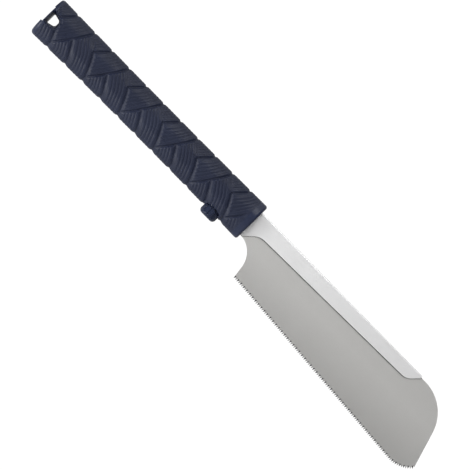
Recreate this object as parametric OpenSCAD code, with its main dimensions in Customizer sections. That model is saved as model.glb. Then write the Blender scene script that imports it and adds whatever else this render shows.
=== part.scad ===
// Japanese-style pull saw with a half-length folded back and a blade that
// unclamps and slides out of a moulded handle.
// X runs along the saw towards the toe, Z towards the back, Y across the blade.
// The origin is the centre of the grip, on the plane of the blade. Millimetres.

/* [Handle] */
// Length of the handle, from the butt to the front face
handle_len = 201.4; // [198:0.2:212]
// Half height of the grip at its narrowest place
waist_half_h = 14.75; // [14.4:0.05:15.5]
// Half height of the grip at the front collar
front_half_h = 15.4; // [15.2:0.1:16.4]
// Half height of the grip at the butt cap
butt_half_h = 16; // [15.6:0.1:17]
// Distance from the front face back to the narrowest place
waist_back = 85; // [60:1:110]
// How far the butt droops below the line of the front
butt_droop = 0.8; // [0:0.1:1.5]
// Half width of the grip's oval, before its sides are cut flat
oval_half_w = 11.1; // [10.9:0.1:11.6]
// Half width across the flat sides
flat_half_w = 10.6; // [10.3:0.1:10.8]
// Length of the smooth collar at the front
collar_len = 5.6; // [4:0.2:6.4]
// Length of the smooth cap at the butt
cap_len = 3.8; // [3.5:0.1:5]

/* [Blade] */
// Length of blade that shows in front of the handle, along the back
blade_len = 198.4; // [190:0.2:210]
// Thickness of the saw plate
plate_t = 0.6; // [0.5:0.1:0.7]
// Tooth pitch
pitch = 1.54; // [1.4:0.02:2.2]
// Tooth depth, gullet to tip
tooth_depth = 2.1; // [1.2:0.1:2.4]
// Slope of the straight tooth line below the back, in degrees
tooth_slope = 3.87; // [3:0.1:4.5]
// Radius of the tooth line at the toe
toe_r = 20; // [16:1:22]
// Radius of the nose, between the toe edge and the back
nose_r = 30; // [24:1:31]

/* [Folded back] */
// Thickness of the sheet that the back is folded from
sheet_t = 0.8; // [0.6:0.1:0.8]
// Length of the back in front of the handle
back_len = 157.4; // [140:0.2:160]
// Height of the back's top edge above the middle of the grip
back_top = 10.3; // [9.8:0.1:10.5]

/* [Clamp] */
// Distance from the front face back to the clamp screw
screw_back = 25.7; // [25:0.1:27]
// Radius of the knob
knob_r = 6.75; // [6:0.05:6.9]
// Height of the knob
knob_h = 7.2; // [7:0.1:9]
// Radius of the screw's thread, M5
thread_r = 2.45; // [2.4:0.01:2.47]

/* [Hidden] */

$fn = 64;
eps = 0.01;                       // overshoot of a cut past the face it opens
reach = 30;                       // longer than the handle is wide or high

navy = [0.16, 0.18, 0.25];
navy_gloss = [0.12, 0.15, 0.22];
blade_grey = [0.70, 0.70, 0.69];
back_grey = [0.86, 0.86, 0.86];
steel = [0.62, 0.63, 0.65];
zinc = [0.56, 0.57, 0.58];
brass = [0.78, 0.66, 0.36];

x_front = handle_len / 2;
x_butt = -handle_len / 2;
x_waist = x_front - waist_back;
x_screw = x_front - screw_back;

// Core inside the sleeve
core_half_h = 13.2;
core_half_w = 8.9;
fit_gap = 0.05;                   // between parts that only rest on each other
edge_r = 1.8;                     // rounding of the handle's front end
butt_r = 2.8;                     // rounding of the butt
oval_n = 64;                      // sides of the grip's section

// Tang: the blade's strip inside the handle
tang_len = 62;
tang_top = 7;
tang_bottom = -2;
neck_bottom = -11.2;              // lower edge of the blade where it leaves the handle
neck_in = 5;                      // full-height neck inside the handle
taper_in = 12.5;                  // where the neck has narrowed to the tang
fold_r = plate_t / 2 + sheet_t;   // half thickness of the folded back
fold_z = back_top - fold_r;       // axis of the fold
plate_top = fold_z - 0.1;
pin_back = 58;                    // stop pin, behind the front face
pin_z = 2.5;
pin_r = 2;
rivet_r = 1.5;
rivet_backs = [9, 41, 50];

// Tooth line, at mid height of the teeth
heel = [17.6, -34.45];            // from the front face and the grip's middle
toe_lean = 17.5;                  // toe edge's lean from upright, in degrees
toe_start = 181;                  // where the tooth line leaves the straight

// Clamp stack, downwards from the tang
pad_r = 3.5;
pad_t = 2.3;
pad_top = tang_bottom - 0.02;
travel = 2;                       // the pad's stroke, 2.5 turns of M5
nut_w = 8;
nut_t = 2.7;
nut_top = pad_top - pad_t - travel - 0.23;
block_half_l = 12;
block_half_w = 4.1;
block_top = 9.2;
pocket_z = -11;                   // underside of the block, roof of the knob's pocket
pocket_r = 7.4;
arch_z = -10.4;                   // top of the arch that opens the pocket to both sides
arch_r = 15;
arch_half_l = 6.6;
knob_top = pocket_z - 1.3;
dog_r = 1.6;                      // tip of the stud, inside the pad
dog_top = pad_top - 0.93;

// Shell screws: [distance behind the front face, height]
screw_places = [[46, -6.4], [69, 0], [128, 0], [184, 0]];
head_y = 3.4;                     // seat of the screw heads, on the -Y side
screw_depth = 6;
screw_r = 1.45;

// Hang hole
bar_t = 3.6;                      // from the butt's face to the hole's throat
bar_drop = 1.4;                   // how far the bar lies below the lower lobe
lobe_step = 0.7;                  // how far the upper lobe lies below the lower one
hole_len = 6.5;
hole_mid = x_butt + bar_t + hole_len / 2;
dish = 2.6;                       // how far the hole widens towards each side

// ---------- outlines ----------

function unit(v) = v / norm(v);
function wrap(a) = a > 180 ? a - 360 : a < -180 ? a + 360 : a;
function flat2(p) = [p[0], p[1]];

// Points that round corner q = [x, y, r] between its neighbours p and s
function corner(p, q, s, n) =
    q[2] == 0 ? [flat2(q)] :
    let (u = unit(flat2(p) - flat2(q)), v = unit(flat2(s) - flat2(q)),
         half = acos(u * v) / 2,
         c = flat2(q) + unit(u + v) * q[2] / sin(half),
         a = flat2(q) + u * q[2] / tan(half) - c,
         b = flat2(q) + v * q[2] / tan(half) - c,
         a0 = atan2(a[1], a[0]),
         sweep = wrap(atan2(b[1], b[0]) - a0))
    [for (i = [0:n]) c + q[2] * [cos(a0 + sweep * i / n), sin(a0 + sweep * i / n)]];

// Outline through corners [x, y, r], each rounded by its own radius
function rounded(q, n = 12) =
    [for (i = [0:len(q) - 1])
        each corner(q[(i + len(q) - 1) % len(q)], q[i], q[(i + 1) % len(q)], n)];

// Height of the grip at a place along it
function half_height(x) =
    x > x_waist
    ? waist_half_h + (front_half_h - waist_half_h) * pow((x - x_waist) / (x_front - x_waist), 2)
    : waist_half_h + (butt_half_h - waist_half_h) * pow((x_waist - x) / (x_waist - x_butt), 2);

// Height of the grip's middle line, which bends down towards the butt
function middle(x) = 0.15 - butt_droop * pow((x_front - x) / handle_len, 2);

// Cross-section at x: an oval with half height a and half width b, cut flat at half width f
function section(x, z, a, b, f) =
    [for (i = [0:oval_n - 1])
        let (t = 360 * (i + 0.5) / oval_n)
        [x, min(max(b * sin(t), -f), f), z + a * cos(t)]];
function grip_section(x, inset = 0) =
    section(x, middle(x), half_height(x) - inset, oval_half_w - inset, flat_half_w - inset);
function core_section(x) = section(x, 0, core_half_h, core_half_w, core_half_w);

// Skin through a row of sections
module loft(rows) {
    n = len(rows[0]);
    m = len(rows);
    polyhedron(
        points = [for (row = rows) each row],
        faces = concat(
            [[for (i = [n - 1:-1:0]) i]],
            [[for (i = [0:n - 1]) (m - 1) * n + i]],
            [for (k = [0:m - 2]) for (i = [0:n - 1])
                let (j = (i + 1) % n)
                each [[k * n + i, (k + 1) * n + j, (k + 1) * n + i],
                      [k * n + i, k * n + j, (k + 1) * n + j]]]));
}

// Extrudes an outline drawn in X and Z across Y, from -half to half
module across(half) {
    rotate([90, 0, 0]) linear_extrude(height = 2 * half, center = true) children();
}

module rod_y(x, z, r, y0, y1) {
    translate([x, y0, z]) rotate([-90, 0, 0]) cylinder(r = r, h = y1 - y0);
}

module rod_z(x, r, z0, z1) {
    translate([x, 0, z0]) cylinder(r = r, h = z1 - z0);
}

// ---------- blade ----------

slope = [cos(tooth_slope), -sin(tooth_slope)];
straight_len = (toe_start - heel[0]) / slope[0];
toe_tangent = heel + straight_len * slope;
toe_centre = toe_tangent + toe_r * [sin(tooth_slope), cos(tooth_slope)];
// The toe edge leans back; its outward normal and distance place it
toe_normal = [cos(toe_lean), sin(toe_lean)];
toe_dist = toe_normal * [blade_len, -38.2];
toe_gap = toe_dist - toe_normal * toe_centre;
toe_sweep = 90 + tooth_slope + toe_lean - acos(toe_gap / toe_r);
line_len = straight_len + toe_r * toe_sweep * PI / 180;
teeth = floor(line_len / pitch);

// Point at distance s along the tooth line, moved out by d
function on_line(s, d) =
    s < straight_len
    ? heel + s * slope + d * [-sin(tooth_slope), -cos(tooth_slope)]
    : let (a = -90 - tooth_slope + (s - straight_len) / toe_r * 180 / PI)
      toe_centre + (toe_r + d) * [cos(a), sin(a)];

tip_share = 0.3;                  // how far into its pitch each tooth has its tip
tooth_points =
    [for (i = [0:teeth - 1])
        each [on_line((i + tip_share) * pitch, tooth_depth / 2),
              on_line((i + 1) * pitch, -tooth_depth / 2)]];

function corners_at_front(q) = [for (c = q) [c[0] + x_front, c[1], c[2]]];

// Corners of the tang, from its lower front to its upper front, grown by c
function tang_corners(c) =
    [[-neck_in, neck_bottom - c, 1.5], [-taper_in, tang_bottom - c, 1.5],
     [-tang_len - c, tang_bottom - c, 1.5], [-tang_len - c, tang_top + c, 1.5],
     [-taper_in + 2, tang_top + c, 1]];

module notch_and_rivets() {
    translate([x_front - pin_back, pin_z]) circle(r = pin_r + 0.05);
    translate([x_front - tang_len - 1, pin_z - pin_r - 0.05])
        square([tang_len - pin_back + 1, 2 * pin_r + 0.1]);
    for (b = rivet_backs) translate([x_front - b, pin_z]) circle(r = rivet_r);
}

// The plate's outline, once round: heel hollow, teeth, toe, nose, back and tang
hollow_lean = 0.14;               // lean of the hollow's steep side, as a slope
hollow_x = heel[0] + (heel[1] - neck_bottom) * hollow_lean;
nose_x = (toe_dist - toe_normal[1] * plate_top) / toe_normal[0];
toe_turn = toe_sweep - 90 - tooth_slope;
toe_corner = toe_centre + toe_r * [cos(toe_turn), sin(toe_turn)];
plate_outline = concat(
    [[hollow_x, neck_bottom, 17]],
    [for (p = concat([on_line(0, -tooth_depth / 2)], tooth_points, [toe_corner])) [p[0], p[1], 0]],
    [[nose_x, plate_top, nose_r], [-neck_in - 1, plate_top, 1]],
    [for (i = [4:-1:0]) tang_corners(0)[i]]);

module saw_plate() {
    color(blade_grey) across(plate_t / 2) difference() {
        polygon(rounded(corners_at_front(plate_outline), 24));
        notch_and_rivets();
    }
}

module back_stiffener() {
    outline = concat(
        [[back_len, fold_z, 0], [back_len, 8, 1.5], [back_len - 7.1, 0.6, 9],
         [10.4, -2.6, 12], [1.2, neck_bottom, 0.4]],
        tang_corners(0),
        [[-neck_in - 1, fold_z, 0]]);
    color(back_grey) difference() {
        union() {
            across(fold_r) difference() {
                polygon(rounded(corners_at_front(outline)));
                notch_and_rivets();
            }
            translate([x_front - neck_in - 1, 0, fold_z]) rotate([0, 90, 0])
                cylinder(r = fold_r, h = back_len + neck_in + 1);
        }
        translate([x_front - tang_len - 1, -plate_t / 2 - eps, -reach])
            cube([tang_len + back_len + 2, plate_t + 2 * eps, reach + plate_top + 0.03]);
    }
}

module tang_rivets() {
    color(steel) for (b = rivet_backs)
        rod_y(x_front - b, pin_z, rivet_r - 0.01, -fold_r, fold_r);
}

// ---------- handle ----------

module hang_hole_outline(grow) {
    bar_end = -hole_len / 2 - 0.7 * grow;
    inner_end = hole_len / 2 + grow;
    polygon(rounded(
        [[bar_end, 4 + grow, 0.8], [bar_end, -4 - 0.6 * grow, 0.8],
         [inner_end, -2.4 - 0.6 * grow, 2 + 0.6 * grow],
         [inner_end, 2.4 + 0.8 * grow, 2 + 0.6 * grow]], 6));
}

// Straight throat through the handle, dished on both sides
module hang_hole() {
    throat_half = 4;
    translate([hole_mid, 0, 0]) {
        across(reach) hang_hole_outline(0);
        for (side = [-1, 1])
            hull() {
                translate([0, side * throat_half, 0]) across(eps) hang_hole_outline(0);
                translate([0, side * (flat_half_w + 1), 0]) across(eps) hang_hole_outline(dish);
            }
    }
}

// Round pocket for the knob, opened to both sides by an arch across the handle
module knob_pocket() {
    rod_z(x_screw, pocket_r, -reach, pocket_z);
    intersection() {
        rod_y(x_screw, arch_z - arch_r, arch_r, -reach, reach);
        translate([x_screw - arch_half_l, -reach, -reach])
            cube([2 * arch_half_l, 2 * reach, reach]);
    }
}

// Steps that set the bar and the upper lobe back from the lower lobe's face
module butt_steps() {
    translate([x_butt - 1, -reach, -5.5]) cube([1 + bar_drop, 2 * reach, 13]);
    translate([x_butt - 1, -reach, 7]) cube([1 + lobe_step, 2 * reach, reach]);
}

// Both shells' outer skin: butt cap, core and front collar, with rounded ends
module core_skin() {
    steps = [0, 22.5, 45, 67.5, 90];
    loft(concat(
        [for (t = steps) grip_section(x_butt + butt_r * (1 - cos(t)), butt_r * (1 - sin(t)))],
        [grip_section(x_butt + cap_len), core_section(x_butt + cap_len),
         core_section(x_front - collar_len), grip_section(x_front - collar_len)],
        [for (i = [4:-1:0])
            grip_section(x_front - edge_r * (1 - cos(steps[i])), edge_r * (1 - sin(steps[i])))]));
}

module tang_channel() {
    clear = 0.2;
    ring = concat([[1, neck_bottom - clear, 0]], tang_corners(clear),
                  [[-neck_in - 1, back_top + clear, 0.5], [1, back_top + clear, 0]]);
    across(fold_r + 0.15) polygon(rounded(corners_at_front(ring)));
}

module block_pocket() {
    translate([x_screw - block_half_l - 0.1, -block_half_w - 0.1, pocket_z - eps])
        cube([2 * block_half_l + 0.2, 2 * block_half_w + 0.2, block_top + 0.1 - pocket_z]);
}

// Hollows that keep the moulding's walls even
module bays() {
    for (bay = [[73, 124], [132, 180]])
        translate([x_front - bay[1], 0, 0]) rotate([90, 0, 90])
            linear_extrude(height = bay[1] - bay[0])
                polygon([for (i = [0:31]) [6.4 * sin(i * 11.25), 10.6 * cos(i * 11.25)]]);
}

module shell_half(side) {
    difference() {
        intersection() {
            core_skin();
            translate([-handle_len, side > 0 ? 0 : -reach, -reach])
                cube([2 * handle_len, reach, 2 * reach]);
        }
        bays();
        tang_channel();
        block_pocket();
        knob_pocket();
        hang_hole();
        rod_y(x_front - pin_back, pin_z, pin_r + 0.02, -7.6, 7.6);
        for (p = screw_places)
            if (side > 0)
                rod_y(x_front - p[0], p[1], screw_r + fit_gap, -1, screw_depth + 0.4);
            else {
                rod_y(x_front - p[0], p[1], screw_r + 0.25, -head_y - 1, 1);
                rod_y(x_front - p[0], p[1], 3, -reach, -head_y);
            }
        butt_steps();
    }
}

module core_shell_left() { color(navy_gloss) shell_half(1); }
module core_shell_right() { color(navy_gloss) shell_half(-1); }

module shell_screws() {
    color(steel) for (p = screw_places) {
        rod_y(x_front - p[0], p[1], screw_r, -head_y - eps, screw_depth);
        rod_y(x_front - p[0], p[1], 2.75, -head_y - 1.8, -head_y);
    }
}

module grip_sleeve() {
    rows = 12;
    x0 = x_butt + cap_len + 0.02;
    x1 = x_front - collar_len - 0.02;
    color(navy) difference() {
        loft([for (k = [0:rows]) grip_section(x0 + (x1 - x0) * k / rows)]);
        translate([x0 - 1, 0, 0]) rotate([90, 0, 90]) linear_extrude(height = x1 - x0 + 2)
            polygon([for (p = core_section(0)) unit([p[1], p[2]]) * fit_gap + [p[1], p[2]]]);
        knob_pocket();
        hang_hole();
    }
}

module stop_pin() {
    color(steel) rod_y(x_front - pin_back, pin_z, pin_r, -7.4, 7.4);
}

// ---------- clamp ----------

module clamp_block() {
    slot_half = fold_r + fit_gap;
    color(zinc) difference() {
        translate([x_screw - block_half_l, -block_half_w, pocket_z])
            cube([2 * block_half_l, 2 * block_half_w, block_top - pocket_z]);
        translate([x_screw - block_half_l - 1, -slot_half, tang_bottom - fit_gap])
            cube([2 * block_half_l + 2, 2 * slot_half, tang_top - tang_bottom + 2 * fit_gap]);
        rod_z(x_screw, pad_r + 0.2, nut_top, 0);
        translate([x_screw - nut_w / 2 - 0.1, -reach, nut_top - nut_t - fit_gap])
            cube([nut_w + 0.2, 2 * reach, nut_t + 2 * fit_gap]);
        rod_z(x_screw, thread_r + 0.45, pocket_z - 1, nut_top);
    }
}

module clamp_nut() {
    color(steel) difference() {
        translate([x_screw - nut_w / 2, -nut_w / 2, nut_top - nut_t]) cube([nut_w, nut_w, nut_t]);
        rod_z(x_screw, 2.5, nut_top - nut_t - 1, nut_top + 1);
    }
}

groove_z = dog_top - 0.8;         // middle of the snap ring's groove

module pressure_pad() {
    color(brass) difference() {
        rod_z(x_screw, pad_r, pad_top - pad_t, pad_top);
        rod_z(x_screw, dog_r + fit_gap, pad_top - pad_t - 1, dog_top + fit_gap);
        rod_z(x_screw, 2, groove_z - 0.25, groove_z + 0.25);
    }
}

module pad_snap_ring() {
    color(steel) translate([x_screw, 0, groove_z])
        rotate_extrude() translate([1.63, 0]) circle(r = 0.22, $fn = 24);
}

module clamp_stud() {
    color(steel) difference() {
        union() {
            rod_z(x_screw, thread_r, knob_top - knob_h + 1.4, pad_top - pad_t - 1.6);
            rod_z(x_screw, dog_r, pad_top - pad_t - 2, dog_top);
        }
        translate([x_screw, 0, groove_z - 0.25]) difference() {
            cylinder(r = dog_r + 1, h = 0.5);
            translate([0, 0, -1]) cylinder(r = 1.3, h = 2.5);
        }
    }
}

// Knob with finger flutes above a smooth, rounded rim, and a neck that fills the pocket's roof
module clamp_knob() {
    flutes = 10;
    flute_r = 1.5;
    rim_h = 2.9;
    floor_t = 1.4;
    neck_r = 6.1;
    low = knob_top - knob_h;
    color(navy_gloss) translate([x_screw, 0, 0]) difference() {
        rotate_extrude() polygon(rounded(
            [[0, low, 0], [knob_r, low, 2.7], [knob_r, knob_top, 0.4], [neck_r, knob_top, 0],
             [neck_r, pocket_z - 0.1, 0.3], [0, pocket_z - 0.1, 0]], 8));
        for (i = [0:flutes - 1])
            rotate([0, 0, (i + 0.5) * 360 / flutes]) translate([knob_r + 0.9, 0, low + rim_h]) {
                cylinder(r = flute_r, h = knob_h, $fn = 32);
                sphere(r = flute_r, $fn = 32);
            }
        translate([0, 0, low + floor_t - eps]) cylinder(r = thread_r + eps, h = knob_h);
    }
}

saw_plate();
back_stiffener();
tang_rivets();
core_shell_left();
core_shell_right();
shell_screws();
grip_sleeve();
clamp_block();
clamp_nut();
pressure_pad();
pad_snap_ring();
clamp_stud();
clamp_knob();
stop_pin();
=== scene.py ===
"""Looks of the pull saw: grip wrap, blade, clamp and studio.

Shapes are worked out in millimetres, and to_mesh() scales them to metres. Lights and shaders are in metres.
"""

import math

import bmesh
import bpy
import numpy as np
from mathutils import Matrix, Vector
from mathutils.geometry import tessellate_polygon

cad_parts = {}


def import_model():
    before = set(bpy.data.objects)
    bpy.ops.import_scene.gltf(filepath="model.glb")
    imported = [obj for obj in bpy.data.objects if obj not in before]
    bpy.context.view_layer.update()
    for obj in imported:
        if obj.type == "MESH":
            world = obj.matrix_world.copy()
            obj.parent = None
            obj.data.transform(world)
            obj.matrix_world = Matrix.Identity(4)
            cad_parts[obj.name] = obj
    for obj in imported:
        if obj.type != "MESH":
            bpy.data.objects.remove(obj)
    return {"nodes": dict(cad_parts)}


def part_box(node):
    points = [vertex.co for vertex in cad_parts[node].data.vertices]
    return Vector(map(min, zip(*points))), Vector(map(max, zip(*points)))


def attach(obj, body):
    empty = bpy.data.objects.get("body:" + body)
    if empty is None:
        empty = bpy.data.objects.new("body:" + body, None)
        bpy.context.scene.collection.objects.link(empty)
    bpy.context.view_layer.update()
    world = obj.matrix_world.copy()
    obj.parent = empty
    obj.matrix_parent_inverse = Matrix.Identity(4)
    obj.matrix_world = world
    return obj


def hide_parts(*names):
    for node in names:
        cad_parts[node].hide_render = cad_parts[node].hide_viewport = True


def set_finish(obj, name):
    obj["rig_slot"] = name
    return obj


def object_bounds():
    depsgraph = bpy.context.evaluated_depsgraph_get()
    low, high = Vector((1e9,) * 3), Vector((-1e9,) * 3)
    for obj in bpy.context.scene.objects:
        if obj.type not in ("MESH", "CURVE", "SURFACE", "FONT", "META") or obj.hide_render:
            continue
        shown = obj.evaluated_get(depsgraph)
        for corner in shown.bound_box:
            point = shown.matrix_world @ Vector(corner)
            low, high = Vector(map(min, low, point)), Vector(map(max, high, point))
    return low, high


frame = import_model()
NODES = frame["nodes"]
CAD_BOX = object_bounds()
MM = 0.001


def box_mm(node):
    """A node's lowest and highest corners."""
    low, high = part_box(node)
    return np.array(low) / MM, np.array(high) / MM


# ---------- places that the frame gives ----------

SLEEVE_LOW, SLEEVE_HIGH = box_mm("grip_sleeve")
CORE_LOW, CORE_HIGH = box_mm("core_shell_left")
KNOB_LOW, KNOB_HIGH = box_mm("clamp_knob")
BLOCK_LOW, _ = box_mm("clamp_block")
X_FRONT = CORE_HIGH[0]
X_BUTT = CORE_LOW[0]
HANDLE_LEN = X_FRONT - X_BUTT
X_SCREW = (KNOB_LOW[0] + KNOB_HIGH[0]) / 2
FLAT_W = SLEEVE_HIGH[1]

# The grip's skin, as in the CAD
WAIST_X = X_FRONT - 85
WAIST_H, FRONT_H, BUTT_H = 14.75, 15.4, 16.0
OVAL_W = 11.1
FLAT_BLEND = 0.5                  # over which the oval turns into the flat flank
FLANK_LEAN = 0.4                  # share of its upright part that the normal keeps on the flank
AXIS_RISE, BUTT_DROOP = 0.15, 0.8
CORE_H, CORE_W = 13.27, 8.97      # bore of the sleeve
REACH = 40                        # longer than the handle is wide or high


def half_height(x):
    """Half the section's height: least at the waist."""
    front = (x - WAIST_X) / (X_FRONT - WAIST_X)
    back = (WAIST_X - x) / (WAIST_X - X_BUTT)
    swell = np.where(x > WAIST_X, (FRONT_H - WAIST_H) * front ** 2, (BUTT_H - WAIST_H) * back ** 2)
    return WAIST_H + swell


def middle(x):
    """Height of the section's middle: the handle droops towards the butt."""
    return AXIS_RISE - BUTT_DROOP * ((X_FRONT - x) / HANDLE_LEN) ** 2


def soft_limit(v, limit):
    """v, turning smoothly into limit."""
    part = np.clip(v - limit + FLAT_BLEND, 0, 2 * FLAT_BLEND)
    return v - part ** 2 / (4 * FLAT_BLEND) - np.maximum(v - limit - FLAT_BLEND, 0)


def skin(x, t, depth):
    """Point at angle t round the section at x (0 is the top, positive towards -Y), sunk by depth."""
    h = half_height(x)
    y = -np.sign(np.sin(t)) * soft_limit(OVAL_W * np.abs(np.sin(t)), FLAT_W)
    z = middle(x) + h * np.cos(t)
    lean = np.where(np.abs(OVAL_W * np.sin(t)) > FLAT_W - FLAT_BLEND, FLANK_LEAN, 1.0)
    ny, nz = -np.sin(t) * h, np.cos(t) * OVAL_W * lean
    size = np.hypot(ny, nz)
    return np.stack([x, y - depth * ny / size, z - depth * nz / size], -1)


# ---------- the wrap's pattern ----------

CELL = 16.9                       # along the handle, notch to notch
NOTCH_X = X_FRONT - 16.7          # first notch
TOP_Z, BOTTOM_Z = 13.3, -12.0     # where the notches reach the flank
BEND = 2.0                        # how far the lines bow towards the toe
CELL_W = 13.5                     # across a strip
STEPS = 40                        # mesh steps to a cell
FLANK = 2 * STEPS                 # mesh rows down a flank
HIGH_MEET = (-8.1, 4.7)           # where strips meet on the flank, high and low in turn,
LOW_MEET = (-7.7, 0.7)            # as (x, z) with x from the next notch
RIBS = 5                          # on a strip
RIB_SHAPE = 2.2                   # power of a furrow's section: higher makes the ribs' crests flatter
RIB_START = 6                     # how steeply the furrows start beside the margins
GROOVE_D, RIB_D = 1.05, 0.31      # depths of the grooves and between the ribs
FAINT = 0.35                      # share of the depth where a falling groove meets the top edge's strips
TILT_WALL = (2.4, 1.6)            # widths of the walls of a groove that falls towards the toe
RISE_WALL = (1.3, 1.3)            # and of one that rises towards the toe
TILT_MARGIN = (6, 4)              # mesh steps without ribs, beside the walls
RISE_MARGIN = (5, 5)
BAND = 14                         # mesh rows over the top and under the bottom
SPARE = 3                         # mesh steps past the sleeve's ends, which cut_sleeve() trims
GROOVE_LEFT, RIB_LEFT = 0.75, 0.45  # shares of the grooves' and the ribs' depth left on the crown
FADE = 3.5                        # the pattern runs out towards the collar over this length
FADE_LEFT = 0.1                   # to this share of its depth
WRAP_CREASE = 70                  # degrees, from which an edge of the wrap is shaded as sharp


def bow(z):
    """How far the pattern's lines lie towards the toe at height z."""
    return BEND * np.sin(np.pi * np.clip((TOP_Z - z) / (TOP_Z - BOTTOM_Z), 0, 1))


def lattice_point(p2, s2):
    """Place (x, z) of a lattice vertex, before the bow.

    p2 counts half cells along the handle. s2 is 0 on the flank's top edge, 1 where strips meet on it and
    2 on its bottom edge, and the vertices just past the edges complete the cells there.
    """
    if s2 in (0, 2):
        return np.array([NOTCH_X + CELL * p2 / 2, TOP_Z if s2 == 0 else BOTTOM_Z])
    if s2 == 1:
        x, z = HIGH_MEET if ((p2 + 1) // 2) % 2 == 0 else LOW_MEET
        return np.array([NOTCH_X + CELL * (p2 + 1) / 2 + x - bow(z), z])
    edge = 0 if s2 < 0 else 2
    return lattice_point(p2 - 1, edge) + lattice_point(p2 + 1, edge) - lattice_point(p2, 1)


def rises(i, j):
    """True if the ribs of cell (i, j) rise towards the toe. j - i is 0 at the top and 2 at the bottom."""
    row = j - i
    return row <= 0 or (row == 1 and (i + 1) % 2 == 0)


def wall(distance, width):
    """Share of the groove's depth at a distance from its middle."""
    t = np.clip(distance * CELL_W / width, 0, 1)
    return 0.5 * (1 - t) + 0.5 * (0.5 + 0.5 * np.cos(np.pi * t))


def ribs(share, margin):
    """Depth between rounded ribs, across the part of a strip between its margins."""
    k = (share * STEPS - margin[0]) / (STEPS - sum(margin)) * RIBS
    inside = np.clip(np.minimum(k, RIBS - k) * RIB_START + 0.5, 0, 1)
    return RIB_D * np.abs(2 * (k - np.floor(k)) - 1) ** RIB_SHAPE * inside


def near_side(steps_a, steps_d):
    """x, z, groove depth and rib depth of the flank's grid. Its rows run from the top to the bottom edge."""
    fi = steps_a[:, None] / STEPS + 0 * steps_d[None, :]
    fj = fi + steps_d[None, :] / STEPS
    i = np.floor(fi + 1e-6).astype(int)
    j = np.floor(fj + 1e-6).astype(int)
    j = np.minimum(j, i + 2)
    u, v = fi - i, fj - j
    x, z, grooves, fine = [np.zeros_like(fi) for _ in range(4)]
    for a, b in sorted(set(zip(i.ravel().tolist(), j.ravel().tolist()))):
        here = (i == a) & (j == b)
        uu, vv = u[here], v[here]
        left, right = lattice_point(a + b, b - a), lattice_point(a + b + 2, b - a)
        top, bottom = lattice_point(a + b + 1, b - a - 1), lattice_point(a + b + 1, b - a + 1)
        point = (np.outer((1 - uu) * (1 - vv), left) + np.outer(uu * (1 - vv), top)
                 + np.outer((1 - uu) * vv, bottom) + np.outer(uu * vv, right))
        x[here], z[here] = point[:, 0], point[:, 1]
        up = rises(a, b)
        row = b - a
        groove = np.zeros_like(uu)
        if not up or (row < 2 and not rises(a - 1, b)):
            groove = np.maximum(groove, wall(uu, TILT_WALL[0]) * (FAINT if row == 0 else 1))
        if not up or (row > 0 and not rises(a + 1, b)):
            groove = np.maximum(groove, wall(1 - uu, TILT_WALL[1]) * (FAINT if row == 1 else 1))
        if up or (row > 0 and rises(a, b - 1)):
            groove = np.maximum(groove, wall(vv, RISE_WALL[0]))
        if up or (row < 2 and rises(a, b + 1)):
            groove = np.maximum(groove, wall(1 - vv, RISE_WALL[1]))
        rib = ribs(vv, RISE_MARGIN) if up else ribs(uu, TILT_MARGIN)
        off_wall = np.clip(1.1 - 2.2 * groove, 0, 1)  # the ribs run out halfway down a groove's wall
        grooves[here] = GROOVE_D * groove
        fine[here] = rib * off_wall
    return x + bow(z), z, grooves, fine


# ---------- cuts in the handle ----------

ARCH_R, ARCH_HALF = 15.0, 6.0
ARCH_TOP = BLOCK_LOW[2] - 0.15
POCKET_R = 7.4
BAR_T, HOLE_HALF = 3.6, 3.25      # from the butt to the hang hole's throat, and half the throat's length
HOLE_X = X_BUTT + BAR_T + HOLE_HALF
DISH = 2.6                        # how far the hole widens towards each side
DISH_IN, DISH_OUT = 4.0, 11.6     # where the widening starts and ends, from the middle plane
RIM_GROW = 2.26                   # how far it has widened at the sleeve's skin
HOLE_RIM, ARCH_RIM = (1.1, 0.55), (0.9, 0.45)  # width and depth of the rounding of their rims
ARCH_LOW = -30                    # the arch's outline closes here, below the handle


def corner_points(corners, steps=8):
    """Outline through corners (x, z, r), each rounded by its own radius."""
    out = []
    for k, (x, z, r) in enumerate(corners):
        here = np.array([x, z])
        before = np.array(corners[k - 1][:2]) - here
        after = np.array(corners[(k + 1) % len(corners)][:2]) - here
        before, after = before / np.linalg.norm(before), after / np.linalg.norm(after)
        half = math.acos(float(before @ after)) / 2
        centre = here + (before + after) / np.linalg.norm(before + after) * r / math.sin(half)
        a0 = math.atan2(*(here + before * r / math.tan(half) - centre)[::-1])
        a1 = math.atan2(*(here + after * r / math.tan(half) - centre)[::-1])
        sweep = (a1 - a0 + math.pi) % (2 * math.pi) - math.pi
        out += [centre + r * np.array([math.cos(a0 + sweep * q / steps), math.sin(a0 + sweep * q / steps)])
                for q in range(steps + 1)]
    return np.array(out)


def hole_outline(grow):
    """Outline of the hang hole, widened by about grow."""
    return corner_points([
        (-HOLE_HALF - 0.7 * grow, 4 + grow, 0.8),
        (-HOLE_HALF - 0.7 * grow, -4 - 0.6 * grow, 0.8),
        (HOLE_HALF + grow, -2.4 - 0.6 * grow, 2 + 0.6 * grow),
        (HOLE_HALF + grow, 2.4 + 0.8 * grow, 2 + 0.6 * grow)]) + np.array([HOLE_X, 0])


def distance_to(outline, x, z):
    """Distance from points to a closed outline."""
    best = np.full(x.shape, 1e9)
    for p, q in zip(outline, np.roll(outline, -1, 0)):
        d = q - p
        t = np.clip(((x - p[0]) * d[0] + (z - p[1]) * d[1]) / max(d @ d, 1e-12), 0, 1)
        best = np.minimum(best, np.hypot(x - p[0] - t * d[0], z - p[1] - t * d[1]))
    return best


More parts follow.
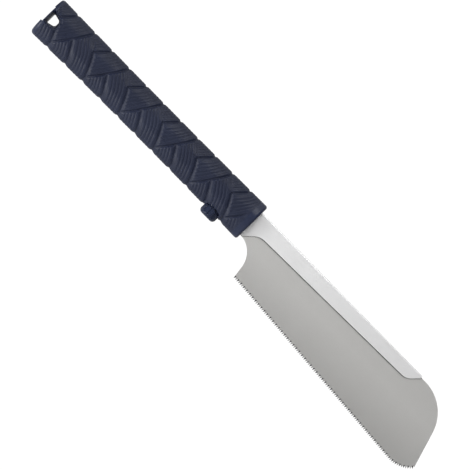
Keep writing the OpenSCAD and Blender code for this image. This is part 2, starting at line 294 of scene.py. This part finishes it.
def arch_outline():
    """Outline of the arch that opens the knob's pocket to both sides."""
    xs = np.linspace(-ARCH_HALF, ARCH_HALF, 25)
    zs = ARCH_TOP - ARCH_R + np.sqrt(ARCH_R ** 2 - xs ** 2)
    return np.concatenate([[[X_SCREW - ARCH_HALF, ARCH_LOW]], np.stack([X_SCREW + xs, zs], -1),
                           [[X_SCREW + ARCH_HALF, ARCH_LOW]]])


def rim_depth(x, z):
    """Rounding of the sleeve's skin where the hang hole and the knob's arch break through it."""
    total = np.zeros_like(x)
    for outline, (width, amount) in ((hole_outline(RIM_GROW), HOLE_RIM), (arch_outline(), ARCH_RIM)):
        low, high = outline.min(0) - 2, outline.max(0) + 2
        near = (x > low[0]) & (x < high[0]) & (z > low[1]) & (z < high[1])
        d = distance_to(outline, x[near], z[near])
        total[near] = np.maximum(total[near], amount * np.clip(1 - d / width, 0, 1) ** 2)
    return total


# ---------- mesh tools ----------

def to_mesh(name, verts, faces, smooth=True):
    mesh = bpy.data.meshes.new(name)
    mesh.from_pydata((np.asarray(verts, float) * MM).tolist(), [], [list(map(int, f)) for f in faces])
    mesh.validate()
    mesh.update()
    obj = bpy.data.objects.new(name, mesh)
    bpy.context.scene.collection.objects.link(obj)
    for polygon in mesh.polygons:
        polygon.use_smooth = smooth
    return obj


def outward(obj):
    """Turns a closed mesh's faces outwards."""
    bm = bmesh.new()
    bm.from_mesh(obj.data)
    bmesh.ops.recalc_face_normals(bm, faces=bm.faces)
    bm.to_mesh(obj.data)
    bm.free()


def loft(name, first, last):
    """Closed solid between two rings of points."""
    n = len(first)
    faces = [list(range(n)), [n + k for k in range(n - 1, -1, -1)]]
    faces += [[k, n + k, n + (k + 1) % n, (k + 1) % n] for k in range(n)]
    obj = to_mesh(name, np.concatenate([first, last]), faces, False)
    outward(obj)
    return obj


def at_y(outline, y):
    """An (x, z) outline as a ring of points at y."""
    return np.array([(x, y, z) for x, z in outline])


def prism(name, outline):
    """Closed solid with an (x, z) outline, right through the handle."""
    return loft(name, at_y(outline, -REACH), at_y(outline, REACH))


ROUND = 96                        # sides of a bore or a floor ring
ANGLES = [2 * math.pi * k / ROUND for k in range(ROUND)]


def on_circle(x, r, z):
    """Ring of points round an upright axis at x."""
    return np.array([(x + r * math.cos(a), r * math.sin(a), z) for a in ANGLES])


def combine(obj, tool, operation="DIFFERENCE"):
    """Applies a boolean and throws the tool away."""
    modifier = obj.modifiers.new("cut", "BOOLEAN")
    modifier.operation = operation
    modifier.object = tool
    modifier.solver = "MANIFOLD"
    depsgraph = bpy.context.evaluated_depsgraph_get()
    mesh = bpy.data.meshes.new_from_object(obj.evaluated_get(depsgraph))
    obj.modifiers.clear()
    old, obj.data = obj.data, mesh
    bpy.data.meshes.remove(old)
    bpy.data.objects.remove(tool)


# ---------- grip wrap ----------

def wrap_points():
    """Rings of points round the handle, from the butt to the front, sunk into the skin by the pattern."""
    # On the flank, a ring's lowest point lies a cell nearer the toe than its highest
    first = math.floor((SLEEVE_LOW[0] - NOTCH_X) / CELL * STEPS) - STEPS - SPARE
    last = math.ceil((SLEEVE_HIGH[0] - NOTCH_X) / CELL * STEPS) + SPARE
    x, z, groove, rib = near_side(np.arange(first, last + 1), np.arange(0, FLANK + 1))
    fade = np.clip((SLEEVE_HIGH[0] - x) / FADE, FADE_LEFT, 1)
    groove, rib = groove * fade, rib * fade
    groove = groove + rim_depth(x, z)
    t = np.arccos(np.clip((z - middle(x)) / half_height(x), -1, 1))
    near = skin(x, t, groove + rib)
    far = near * np.array([1, -1, 1])
    share = np.arange(1, BAND)[None, :] / BAND

    def band(row, t_sum):
        """Rows from the near side's edge to the far side's, whose angles add up to t_sum."""
        start = t[:, row][:, None]
        crown = np.sin(math.pi * share)
        deep = (groove[:, row][:, None] * (1 - crown * (1 - GROOVE_LEFT))
                + rib[:, row][:, None] * (1 - crown * (1 - RIB_LEFT)))
        return skin(x[:, row][:, None] + 0 * share, start + share * (t_sum - 2 * start), deep)

    under = band(-1, 2 * math.pi)
    over = band(0, 0.0)[:, ::-1]
    return np.concatenate([near, under, far[:, ::-1], over], 1)


def wrap_faces(count, n):
    """Triangles between count rings of n points, with diagonals that follow the rising lines on both flanks.

    Two fans close the ends, round the two points that come after the rings.
    """
    far_side = range(FLANK + BAND, 2 * FLANK + BAND)
    faces = []
    for k in range(count - 1):
        for q in range(n):
            w = (q + 1) % n
            p0, p1, p2, p3 = k * n + q, (k + 1) * n + q, (k + 1) * n + w, k * n + w
            if q in far_side:
                faces += [(p0, p1, p2), (p0, p2, p3)]
            else:
                faces += [(p0, p1, p3), (p1, p2, p3)]
    butt, front, end = count * n, count * n + 1, (count - 1) * n
    faces += [(butt, k, (k + 1) % n) for k in range(n)]
    faces += [(front, end + (k + 1) % n, end + k) for k in range(n)]
    return faces


def cut_sleeve(obj):
    """Trims the sleeve's ends, and cuts its bore, the knob's pocket and arch, and the hang hole."""
    butt_end, front_end = SLEEVE_LOW[0], SLEEVE_HIGH[0]
    slab = [(butt_end, -REACH), (front_end, -REACH), (front_end, REACH), (butt_end, REACH)]
    combine(obj, prism("slab", slab), "INTERSECT")
    bore = [np.array([(end, CORE_W * math.sin(a), CORE_H * math.cos(a)) for a in ANGLES])
            for end in (butt_end - 2, front_end + 2)]
    combine(obj, loft("bore", *bore))
    pocket = [on_circle(X_SCREW, POCKET_R, z) for z in (-REACH, BLOCK_LOW[2])]
    combine(obj, loft("pocket", *pocket))
    combine(obj, prism("arch", arch_outline()))
    combine(obj, prism("throat", hole_outline(0)))
    for side in (-1, 1):
        dish = [at_y(hole_outline(0), side * DISH_IN), at_y(hole_outline(DISH), side * DISH_OUT)]
        combine(obj, loft("dish", *dish))


def grip_wrap():
    """The sleeve, with its woven pattern sunk into the CAD's smooth skin."""
    rings = wrap_points()
    ends = [rings[0].mean(0), rings[-1].mean(0)]
    obj = to_mesh("grip_wrap", np.concatenate([rings.reshape(-1, 3), ends]), wrap_faces(*rings.shape[:2]))
    outward(obj)
    cut_sleeve(obj)
    for polygon in obj.data.polygons:
        polygon.use_smooth = True
    obj.data.set_sharp_from_angle(angle=math.radians(WRAP_CREASE))
    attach(obj, "handle")
    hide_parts("grip_sleeve")
    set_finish(obj, "grip_rubber")
    return obj


# ---------- CAD shapes with softened edges ----------

MERGE = 2e-6                      # metres between points of the CAD's mesh that are the same
CREASE = 35                       # degrees, from which an edge is sharp enough to round
SMOOTH = 32                       # degrees, up to which two faces are shaded as one surface
FLAT = 0.3                        # degrees, up to which two faces are merged into one


def refined(node, body, slot, choose=None, width=0.0, segments=2, clamp=True):
    """Smoothly shaded copy of a CAD node, with the edges that choose() picks rounded by width."""
    bm = bmesh.new()
    bm.from_mesh(NODES[node].data)
    bmesh.ops.remove_doubles(bm, verts=bm.verts, dist=MERGE)
    bmesh.ops.dissolve_limit(bm, angle_limit=math.radians(FLAT), verts=bm.verts, edges=bm.edges)
    if choose:
        sharp = [e for e in bm.edges
                 if len(e.link_faces) == 2 and e.calc_face_angle(0) > math.radians(CREASE)]
        picked = [e for e in sharp if choose(np.array([v.co for v in e.verts]) / MM)]
        bmesh.ops.bevel(bm, geom=picked, offset=width * MM, offset_type="OFFSET", segments=segments,
                        profile=0.5, affect="EDGES", clamp_overlap=clamp)
    bmesh.ops.recalc_face_normals(bm, faces=bm.faces)
    mesh = bpy.data.meshes.new(node + "_skin")
    bm.to_mesh(mesh)
    bm.free()
    for polygon in mesh.polygons:
        polygon.use_smooth = True
    mesh.set_sharp_from_angle(angle=math.radians(SMOOTH))
    obj = bpy.data.objects.new(node + "_skin", mesh)
    bpy.context.scene.collection.objects.link(obj)
    normals = obj.modifiers.new("normals", "WEIGHTED_NORMAL")
    normals.keep_sharp = True
    normals.weight = 100
    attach(obj, body)
    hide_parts(node)
    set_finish(obj, slot)
    return obj


# ---------- saw plate ----------

SET = 0.14                        # how far the teeth are bent to each side
GRIND = 0.4                       # share of a tooth's height that its bevels take off one face
GROUND_UP = 0.25                  # how far above the gullets a ground face starts, as a share of that height
EDGE_LEFT = 0.7                   # share of the plate's half thickness left at a ground tip
TIP_ANGLE = 80                    # degrees: a tip is sharper than this
TIP_SIDE = 2.6                    # and its sides are shorter than this
# Shares of the tooth grey in the colour of a ground face, the face above its gullets and a tooth's walls.
# That grey is painted shade, for the darker reflection of these angled faces.
GROUND_SHADE, ABOVE_SHADE, WALL_SHADE = 1.0, 0.4, 0.6


def outline_loops(node):
    """Closed outlines (x, z) of a flat CAD node's face, the longest first."""
    bm = bmesh.new()
    bm.from_mesh(NODES[node].data)
    bmesh.ops.remove_doubles(bm, verts=bm.verts, dist=MERGE)
    face_set = {f for f in bm.faces if f.normal.y > 0.9}
    following = {}
    for f in face_set:
        for loop in f.loops:
            if not any(g in face_set for g in loop.edge.link_faces if g is not f):
                following[loop.vert.index] = loop.link_loop_next.vert.index
    places = {v.index: (v.co.x / MM, v.co.z / MM) for v in bm.verts}
    bm.free()
    loops = []
    while following:
        start = here = min(following)
        ring = []
        while here in following:
            ring.append(places[here])
            here = following.pop(here)
        loops.append(np.array(ring))
    return sorted(loops, key=len, reverse=True)


def tooth_tips(outer):
    """Indices of an outline's tooth tips: sharp corners with short sides, where it turns the way it runs."""
    to_last, to_next = np.roll(outer, 1, 0) - outer, np.roll(outer, -1, 0) - outer
    la, lb = np.linalg.norm(to_last, axis=1), np.linalg.norm(to_next, axis=1)
    turn = np.degrees(np.arccos(np.clip((to_last * to_next).sum(1) / (la * lb), -1, 1)))
    area = np.sum(outer[:, 0] * np.roll(outer[:, 1], -1) - np.roll(outer[:, 0], -1) * outer[:, 1])
    cross = -(to_last[:, 0] * to_next[:, 1] - to_last[:, 1] * to_next[:, 0]) * np.sign(area)
    return [k for k in range(len(outer))
            if turn[k] < TIP_ANGLE and max(la[k], lb[k]) < TIP_SIDE and cross[k] > 0]


def plate_skin():
    """The saw plate, with teeth that are ground on one face and set to the other side, in turn."""
    loops = outline_loops("saw_plate")
    outer = loops[0]
    n = len(outer)
    ground_side = {k: 1 if order % 2 else -1 for order, k in enumerate(tooth_tips(outer))}
    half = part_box("saw_plate")[1].y / MM
    verts, faces, dark, index = [], [], [], {}

    def vert(key, place, y):
        index[key] = len(verts)
        verts.append((place[0], y, place[1]))

    def face(keys, shade=0.0):
        faces.append([index[key] for key in keys])
        dark.append(shade)

    for side in (-1, 1):
        outline = []
        for k in range(n):
            if k not in ground_side:
                vert((0, k, side), outer[k], side * half)
                outline.append((0, k, side))
                continue
            base = (outer[k - 1] + outer[(k + 1) % n]) / 2
            if ground_side[k] == side:
                vert((0, k, side), outer[k] + GRIND * (base - outer[k]), side * half * EDGE_LEFT)
                vert(("top", k, side), base + GROUND_UP * (base - outer[k]), side * half)
                outline.append(("top", k, side))
            else:
                vert((0, k, side), outer[k], side * (half + SET))
        rings = [outline]
        for h, ring in enumerate(loops[1:], 1):
            for k, place in enumerate(ring):
                vert((h, k, side), place, side * half)
            rings.append([(h, k, side) for k in range(len(ring))])
        keys = [key for ring in rings for key in ring]
        flat = [[Vector((verts[index[key]][0], verts[index[key]][2], 0)) for key in ring] for ring in rings]
        for triangle in tessellate_polygon(flat):
            face([keys[q] for q in triangle])
        for k, ground in ground_side.items():
            gullets = [(0, k - 1, side), (0, (k + 1) % n, side)]
            face([gullets[0], (0, k, side), gullets[1]], GROUND_SHADE if ground == side else 0.0)
            if ground == side:
                face([gullets[0], gullets[1], ("top", k, side)], ABOVE_SHADE)
    for h, ring in enumerate(loops):
        for k in range(len(ring)):
            b = (k + 1) % len(ring)
            tooth_wall = h == 0 and (k in ground_side or b in ground_side)
            face([(h, k, -1), (h, b, -1), (h, b, 1), (h, k, 1)], WALL_SHADE if tooth_wall else 0.0)
    obj = to_mesh("saw_plate_skin", verts, faces, False)
    # Painted shade of each face: the teeth's ground faces and walls are painted darker for their darker
    # reflection
    layer = obj.data.attributes.new("ground", "FLOAT", "FACE")
    layer.data.foreach_set("value", dark)
    outward(obj)
    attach(obj, "blade")
    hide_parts("saw_plate")
    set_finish(obj, "blade_steel")
    return obj


# ---------- materials ----------

class Shader:
    """A node material, built up call by call."""

    def __init__(self, name):
        self.material = bpy.data.materials.new(name)
        self.material.use_nodes = True
        self.tree = self.material.node_tree
        self.bsdf = self.tree.nodes["Principled BSDF"]
        self.coords = self.node("ShaderNodeTexCoord").outputs["Object"]

    def node(self, kind):
        return self.tree.nodes.new(kind)

    def plug(self, socket, value):
        """Sets a socket to a value, or links another node's output to it."""
        if isinstance(value, bpy.types.NodeSocket):
            self.tree.links.new(value, socket)
        elif isinstance(socket.default_value, (int, float)):
            socket.default_value = value
        else:
            socket.default_value = (*value, 1.0) if len(value) < len(socket.default_value) else value

    def set(self, **values):
        """Sets inputs of the surface's shader by name, with _ for each space."""
        for key, value in values.items():
            self.plug(self.bsdf.inputs[key.replace("_", " ")], value)

    def noise(self, scale, stretch=(1, 1, 1), detail=3.0, roughness=0.5, distortion=0.0):
        """Noise with about scale features to a metre, times stretch along each axis."""
        place = self.node("ShaderNodeMapping")
        self.plug(place.inputs["Vector"], self.coords)
        place.inputs["Scale"].default_value = stretch
        made = self.node("ShaderNodeTexNoise")
        self.plug(made.inputs["Vector"], place.outputs["Vector"])
        made.inputs["Scale"].default_value = scale
        made.inputs["Detail"].default_value = detail
        made.inputs["Roughness"].default_value = roughness
        made.inputs["Distortion"].default_value = distortion
        return made.outputs["Fac"]

    def spread(self, value, low, high, out_low=0.0, out_high=1.0):
        """A value from low to high, mapped onto out_low to out_high and held there beyond them."""
        made = self.node("ShaderNodeMapRange")
        ends = {"From Min": low, "From Max": high, "To Min": out_low, "To Max": out_high}
        for name, number in ends.items():
            made.inputs[name].default_value = number
        self.plug(made.inputs["Value"], value)
        return made.outputs["Result"]

    def math(self, operation, a, b):
        made = self.node("ShaderNodeMath")
        made.operation = operation
        self.plug(made.inputs[0], a)
        self.plug(made.inputs[1], b)
        return made.outputs[0]

    def mix(self, share, a, b):
        made = self.node("ShaderNodeMix")
        made.data_type = "RGBA"
        self.plug(made.inputs["Factor"], share)
        for socket, value in ((made.inputs[6], a), (made.inputs[7], b)):
            self.plug(socket, value)
        return made.outputs[2]

    def bump(self, height, distance, strength=1.0, onto=None):
        made = self.node("ShaderNodeBump")
        self.plug(made.inputs["Height"], height)
        made.inputs["Distance"].default_value = distance
        made.inputs["Strength"].default_value = strength
        if onto is not None:
            self.plug(made.inputs["Normal"], onto)
        return made.outputs["Normal"]

    def pointiness(self, low, high):
        return self.spread(self.node("ShaderNodeNewGeometry").outputs["Pointiness"], low, high)

    def shade_in_corners(self, distance, low, high):
        made = self.node("ShaderNodeAmbientOcclusion")
        made.samples = 8
        made.inputs["Distance"].default_value = distance
        return self.spread(made.outputs["AO"], low, high)


NAVY, NAVY_DARK = (0.0102, 0.0138, 0.0325), (0.0076, 0.0104, 0.0255)
NAVY_DUST_AND_SHEEN = (0.0225, 0.029, 0.056)                                      # dust in patches, and a painted sheen on crests
CORE_NAVY, CORE_DARK = (0.014, 0.019, 0.044), (0.010, 0.014, 0.034)
KNOB_NAVY, KNOB_DARK = (0.013, 0.019, 0.044), (0.009, 0.013, 0.032)
BLADE_GREY, BLADE_DARK = (0.76, 0.752, 0.734), (0.71, 0.703, 0.686)
BACK_GREY, BACK_DARK = (0.80, 0.80, 0.80), (0.765, 0.765, 0.77)
STEEL, STEEL_DARK = (0.60, 0.61, 0.62), (0.42, 0.43, 0.45)
# Painted shade: the zinc block is coloured near black for the shade of its recess in the handle, where bare
# zinc is light grey
ZINC_IN_SHADE, ZINC_IN_SHADE_DARK = (0.10, 0.105, 0.11), (0.07, 0.072, 0.076)
BRASS, BRASS_DARK = (0.78, 0.60, 0.28), (0.55, 0.40, 0.17)
# Painted shade: the tooth grey darkens the teeth's angled faces, and the cut grey paints a shadow line under
# the back's edge
TOOTH_SHADE_GREY, EDGE_SHADOW_GREY = (0.09, 0.09, 0.095), (0.03, 0.03, 0.03)
# Metres, and shares of a metal's dark colour
# The darkening towards the teeth is partly painted shade, where the light falls off, and partly the steel's
# darker tone there
TEETH_Z, CLEAR_Z = -0.042, -0.012  # the plate is darkest below the first and not darkened above the second
TEETH_TONE_AND_SHADE_SHARE, CORNER_SHADE_SHARE = 0.80, 0.12


def moulded(name, colour, dark, roughness, grain):
    """Moulded polymer: mottled, finely textured, with dusty patches and glossier crests. Its crests are also
    painted lighter, as a painted sheen.
    """
    s = Shader(name)
    mottle = s.noise(90, detail=5)
    patches = s.noise(14, detail=2)
    crest = s.pointiness(0.47, 0.56)
    base = s.mix(s.spread(mottle, 0.3, 0.7), dark, colour)
    base = s.mix(s.math("MULTIPLY", s.spread(patches, 0.45, 0.75), 0.35), base, NAVY_DUST_AND_SHEEN)
    # Painted sheen: the crests are painted lighter than the hollows between them
    base = s.mix(s.math("MULTIPLY", crest, 0.25), base, NAVY_DUST_AND_SHEEN)
    rough = s.spread(s.noise(260, detail=4), 0.3, 0.7, roughness - 0.06, roughness + 0.08)
    rough = s.math("SUBTRACT", rough, s.math("MULTIPLY", crest, 0.06))
    fine = s.bump(s.noise(grain, detail=4, roughness=0.6), 0.00005, 0.5)
    broad = s.bump(s.noise(120, detail=2), 0.0001, 0.25, fine)
    s.set(Base_Color=base, Roughness=rough, Normal=broad, Specular_IOR_Level=0.22)
    return s.material


def darker(colour, share):
    return tuple(share * c for c in colour)


def metal(name, colour, dark, roughness, stretch, grain,
          scratch=0.15, corners=None, teeth=False, painted_edge_shadow=False):
    """Metal with directional grain, sparse scratches and slight staining.

    corners is the distance over which corners darken: painted shade where the back meets the plate. teeth
    darkens the plate towards its teeth, partly as painted shade where the light falls off and partly for the
    steel's darker tone there, and it gives the teeth's ground faces painted shade.
    The last flag darkens cut edges that face down: a painted shadow line.
    """
    s = Shader(name)
    lines = s.noise(grain, stretch, detail=4, roughness=0.7)
    stains = s.noise(16, detail=4)
    along_grain = tuple(0.12 * k + 0.02 for k in stretch)
    scratches = s.spread(s.noise(420, along_grain, detail=1, distortion=0.4), 0.66, 0.7)
    base = s.mix(s.spread(lines, 0.25, 0.75), dark, colour)
    base = s.mix(s.math("MULTIPLY", s.spread(stains, 0.45, 0.7), 0.25), base, dark)
    # Painted shade: the plate darkens where the back stands on it, as a contact shadow would
    if corners:
        base = s.mix(s.shade_in_corners(corners, 0.45, 0.92), darker(dark, CORNER_SHADE_SHARE), base)
    # Partly painted shade of the light falling off towards the teeth, partly the steel's darker tone near
    # them
    if teeth:
        place = s.node("ShaderNodeSeparateXYZ")
        s.plug(place.inputs[0], s.coords)
        base = s.mix(s.spread(place.outputs["Z"], TEETH_Z, CLEAR_Z), darker(dark, TEETH_TONE_AND_SHADE_SHARE), base)
        # Painted shade on the teeth's ground faces, for their darker reflection
        tip = s.node("ShaderNodeAttribute")
        tip.attribute_name = "ground"
        base = s.mix(tip.outputs["Fac"], base, TOOTH_SHADE_GREY)
    # Painted shadow: the back's edges that face down are painted nearly black, less where they curve, as the
    # shadow line under its edge
    if painted_edge_shadow:
        parts = s.node("ShaderNodeSeparateXYZ")
        s.plug(parts.inputs[0], s.node("ShaderNodeNewGeometry").outputs["Normal"])
        down = s.spread(s.math("MULTIPLY", parts.outputs["Z"], -1.0), 0.12, 0.45)
        along = s.spread(s.math("ABSOLUTE", parts.outputs["X"], 0.0), 0.1, 0.4, 1.0, 0.35)
        base = s.mix(s.math("MULTIPLY", down, along), base, EDGE_SHADOW_GREY)
    rough = s.spread(lines, 0.2, 0.8, roughness - 0.05, roughness + 0.07)
    rough = s.math("SUBTRACT", rough, s.math("MULTIPLY", scratches, 0.03))
    normal = s.bump(lines, 0.00002, 0.35)
    normal = s.bump(scratches, -0.00001, scratch, normal)
    s.set(Base_Color=base, Metallic=1.0, Roughness=rough, Normal=normal)
    return s.material


MATERIALS = {
    "grip_rubber": moulded("grip_rubber_look", NAVY, NAVY_DARK, 0.52, 2600),
    "core_plastic": moulded("core_plastic_look", CORE_NAVY, CORE_DARK, 0.40, 3400),
    "knob_plastic": moulded("knob_plastic_look", KNOB_NAVY, KNOB_DARK, 0.34, 3800),
    # The plate gets painted shade beside the back, towards the teeth and on the teeth's ground faces
    "blade_steel": metal("blade_steel_look", BLADE_GREY, BLADE_DARK, 0.36, (1, 1, 14), 260,
                         scratch=0.05, corners=0.0016, teeth=True),
    # The back gets a painted shadow line along its lower edge
    "back_steel": metal("back_steel_look", BACK_GREY, BACK_DARK, 0.58, (1, 1, 1), 1500, painted_edge_shadow=True),
    "fastener_steel": metal("fastener_steel_look", STEEL, STEEL_DARK, 0.30, (1, 1, 6), 700),
    # Painted shade: dark for the recess that the block sits in
    "block_zinc": metal("block_zinc_in_shade_look", ZINC_IN_SHADE, ZINC_IN_SHADE_DARK, 0.5, (1, 1, 1), 500),
    "pad_brass": metal("pad_brass_look", BRASS, BRASS_DARK, 0.32, (1, 1, 5), 600),
}


def finish_with(obj, slot):
    """Gives an object the material of a slot, and leaves its mesh alone."""
    if not obj.data.materials:
        obj.data.materials.append(None)
    for k in range(len(obj.material_slots)):
        obj.material_slots[k].link = "OBJECT"
        obj.material_slots[k].material = MATERIALS[slot]


# ---------- studio ----------

PAPER = 1.05                      # brightness of the white behind the saw, as the camera sees it
FRONT_LIGHT, BACK_LIGHT = 0.10, 0.7  # brightness of the world in front and behind, as the saw sees it
FRONT_END, BACK_START = -0.1, 0.6  # where one turns into the other: 0 is beside the saw and 1 behind it


def world():
    """White to the camera. It lights the saw like white paper behind it, and little from the front."""
    made = bpy.data.worlds.new("studio")
    bpy.context.scene.world = made
    made.use_nodes = True
    tree = made.node_tree
    tree.nodes.clear()
    out = tree.nodes.new("ShaderNodeOutputWorld")
    mix = tree.nodes.new("ShaderNodeMixShader")
    seen = tree.nodes.new("ShaderNodeBackground")
    seen.inputs["Strength"].default_value = PAPER
    lit = tree.nodes.new("ShaderNodeBackground")
    for background in (seen, lit):
        background.inputs["Color"].default_value = (1, 1, 1, 1)
    coords = tree.nodes.new("ShaderNodeTexCoord")
    parts = tree.nodes.new("ShaderNodeSeparateXYZ")
    ramp = tree.nodes.new("ShaderNodeMapRange")
    ramp.interpolation_type = "SMOOTHSTEP"
    ends = {"From Min": FRONT_END, "From Max": BACK_START, "To Min": FRONT_LIGHT, "To Max": BACK_LIGHT}
    for key, value in ends.items():
        ramp.inputs[key].default_value = value
    tree.links.new(coords.outputs["Generated"], parts.inputs[0])
    tree.links.new(parts.outputs["Y"], ramp.inputs["Value"])
    tree.links.new(ramp.outputs["Result"], lit.inputs["Strength"])
    path = tree.nodes.new("ShaderNodeLightPath")
    tree.links.new(path.outputs["Is Camera Ray"], mix.inputs["Fac"])
    tree.links.new(lit.outputs[0], mix.inputs[1])
    tree.links.new(seen.outputs[0], mix.inputs[2])
    tree.links.new(mix.outputs[0], out.inputs["Surface"])


def area_light(name, place, target, size, power):
    """Round light, hidden from the camera. Metres and watts."""
    data = bpy.data.lights.new(name, "AREA")
    data.shape = "DISK"
    data.size = size
    data.energy = power
    light = bpy.data.objects.new(name, data)
    bpy.context.scene.collection.objects.link(light)
    light.location = place
    light.rotation_euler = (Vector(target) - Vector(place)).to_track_quat("-Z", "Y").to_euler()
    light.visible_camera = False


def studio():
    bpy.context.scene.view_settings.view_transform = "Standard"
    world()
    area_light("key", (-0.85, -0.55, -0.75), (0.05, 0, -0.01), 0.5, 11.5)
    area_light("above", (-0.1, -0.25, 0.95), (0, 0, 0), 1.2, 4.8)
    area_light("below", (-0.35, -0.25, -0.9), (0, 0, 0), 0.4, 2.5)
    area_light("front", (-0.03, -0.45, 0.42), (0.08, 0, -0.01), 0.4, 2.0)


FLOOR_R = 2600
FLOOR_RINGS = 0.25, 0.6, 1.0      # shares of its radius
FLOOR_GAP = 1                     # between the floor and the saw's lowest point
GLOW_END, FLOOR_START = 0.12, 0.3  # cosines of the view's angle: all glow up to one, all floor from the other


def floor_material():
    """Pale and matt. Seen edge on it is as white as the world behind it, and from below it isn't there."""
    s = Shader("floor_look")
    speck = s.noise(60, detail=4)
    s.set(Base_Color=s.mix(speck, (0.86, 0.86, 0.855), (0.90, 0.90, 0.895)), Roughness=0.9,
          Normal=s.bump(s.noise(400, detail=3), 0.0002, 0.2))
    glow = s.node("ShaderNodeEmission")
    glow.inputs["Strength"].default_value = PAPER
    clear = s.node("ShaderNodeBsdfTransparent")
    facing = s.node("ShaderNodeNewGeometry")
    dot = s.node("ShaderNodeVectorMath")
    dot.operation = "DOT_PRODUCT"
    s.plug(dot.inputs[0], facing.outputs["Incoming"])
    s.plug(dot.inputs[1], facing.outputs["Normal"])
    level = s.spread(s.math("ABSOLUTE", dot.outputs["Value"], 0.0), GLOW_END, FLOOR_START)
    from_above = s.node("ShaderNodeMixShader")
    s.plug(from_above.inputs[0], level)
    s.plug(from_above.inputs[1], glow.outputs[0])
    s.plug(from_above.inputs[2], s.bsdf.outputs[0])
    both = s.node("ShaderNodeMixShader")
    s.plug(both.inputs[0], facing.outputs["Backfacing"])
    s.plug(both.inputs[1], from_above.outputs[0])
    s.plug(both.inputs[2], clear.outputs[0])
    s.plug(s.tree.nodes["Material Output"].inputs["Surface"], both.outputs[0])
    return s.material


def floor():
    """A round floor: a fan of triangles inside two rings of quads."""
    low, high = CAD_BOX
    mid_x = (low.x + high.x) / 2 / MM
    z = low.z / MM - FLOOR_GAP
    rings = [on_circle(mid_x, share * FLOOR_R, z) for share in FLOOR_RINGS]
    verts = np.concatenate([[(0.0, 0.0, z)], *rings])
    n = ROUND
    faces = [(0, 1 + k, 1 + (k + 1) % n) for k in range(n)]
    for first in (1, 1 + n):
        faces += [(first + k, first + n + k, first + n + (k + 1) % n, first + (k + 1) % n) for k in range(n)]
    obj = to_mesh("floor", verts, faces)
    obj.data.materials.append(floor_material())
    obj.visible_shadow = False


VIEW_WIDTH = 323.6                # across the picture, at the blade
VIEW_X, VIEW_Z = X_FRONT - 2.4, -13.9  # middle of the picture
ROLL = 45.62                      # degrees
LENS, SENSOR = 245, 36


def camera():
    """Square on to the blade, rolled so that the saw lies across the picture."""
    data = bpy.data.cameras.new("camera")
    data.lens = LENS
    data.sensor_width = SENSOR
    distance = VIEW_WIDTH * MM * data.lens / data.sensor_width
    data.clip_start, data.clip_end = 0.05, 20
    obj = bpy.data.objects.new("camera", data)
    bpy.context.scene.collection.objects.link(obj)
    roll = math.radians(ROLL)
    right = Vector((math.cos(roll), 0, math.sin(roll)))
    up = Vector((-math.sin(roll), 0, math.cos(roll)))
    back = Vector((0, -1, 0))
    turn = Matrix((right, up, back)).transposed().to_4x4()
    turn.translation = Vector((VIEW_X * MM, -distance, VIEW_Z * MM))
    obj.matrix_world = turn
    bpy.context.scene.camera = obj


NEAR = 9                          # half the side of a box that holds the hang hole's rims
SPLIT = 0.5                       # edges closer to the middle plane are where the shells meet
FOLD_LOW = 9                      # the back's upper edge is a fold above this height


def near_hang_hole(edge):
    """True if an edge, given by its two points, is on a rim of the hang hole."""
    x, y, z = edge.T
    return (np.abs(x - HOLE_X) < NEAR).all() and (np.abs(z) < NEAR).all() and (np.abs(y) > SPLIT).all()


def below_fold(edge):
    """True if an edge is on the back, outside the handle and below its fold."""
    x, _, z = edge.T
    return (x > X_FRONT - 1).all() and (z < FOLD_LOW).all()


def skins():
    """The CAD nodes whose edges show, smoothly shaded and with those edges softened."""
    return [
        refined("core_shell_left", "handle", "core_plastic", near_hang_hole, width=0.35),
        refined("core_shell_right", "handle", "core_plastic", near_hang_hole, width=0.35),
        refined("clamp_knob", "screw", "knob_plastic"),
        refined("back_stiffener", "blade", "back_steel", below_fold, width=0.5, segments=3, clamp=False),
    ]


pieces = [grip_wrap(), plate_skin()] + skins()
for name, node in NODES.items():
    finish_with(node, node.data.materials[0].name.split(".")[0])
for piece in pieces:
    finish_with(piece, piece["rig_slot"])
studio()
floor()
camera()
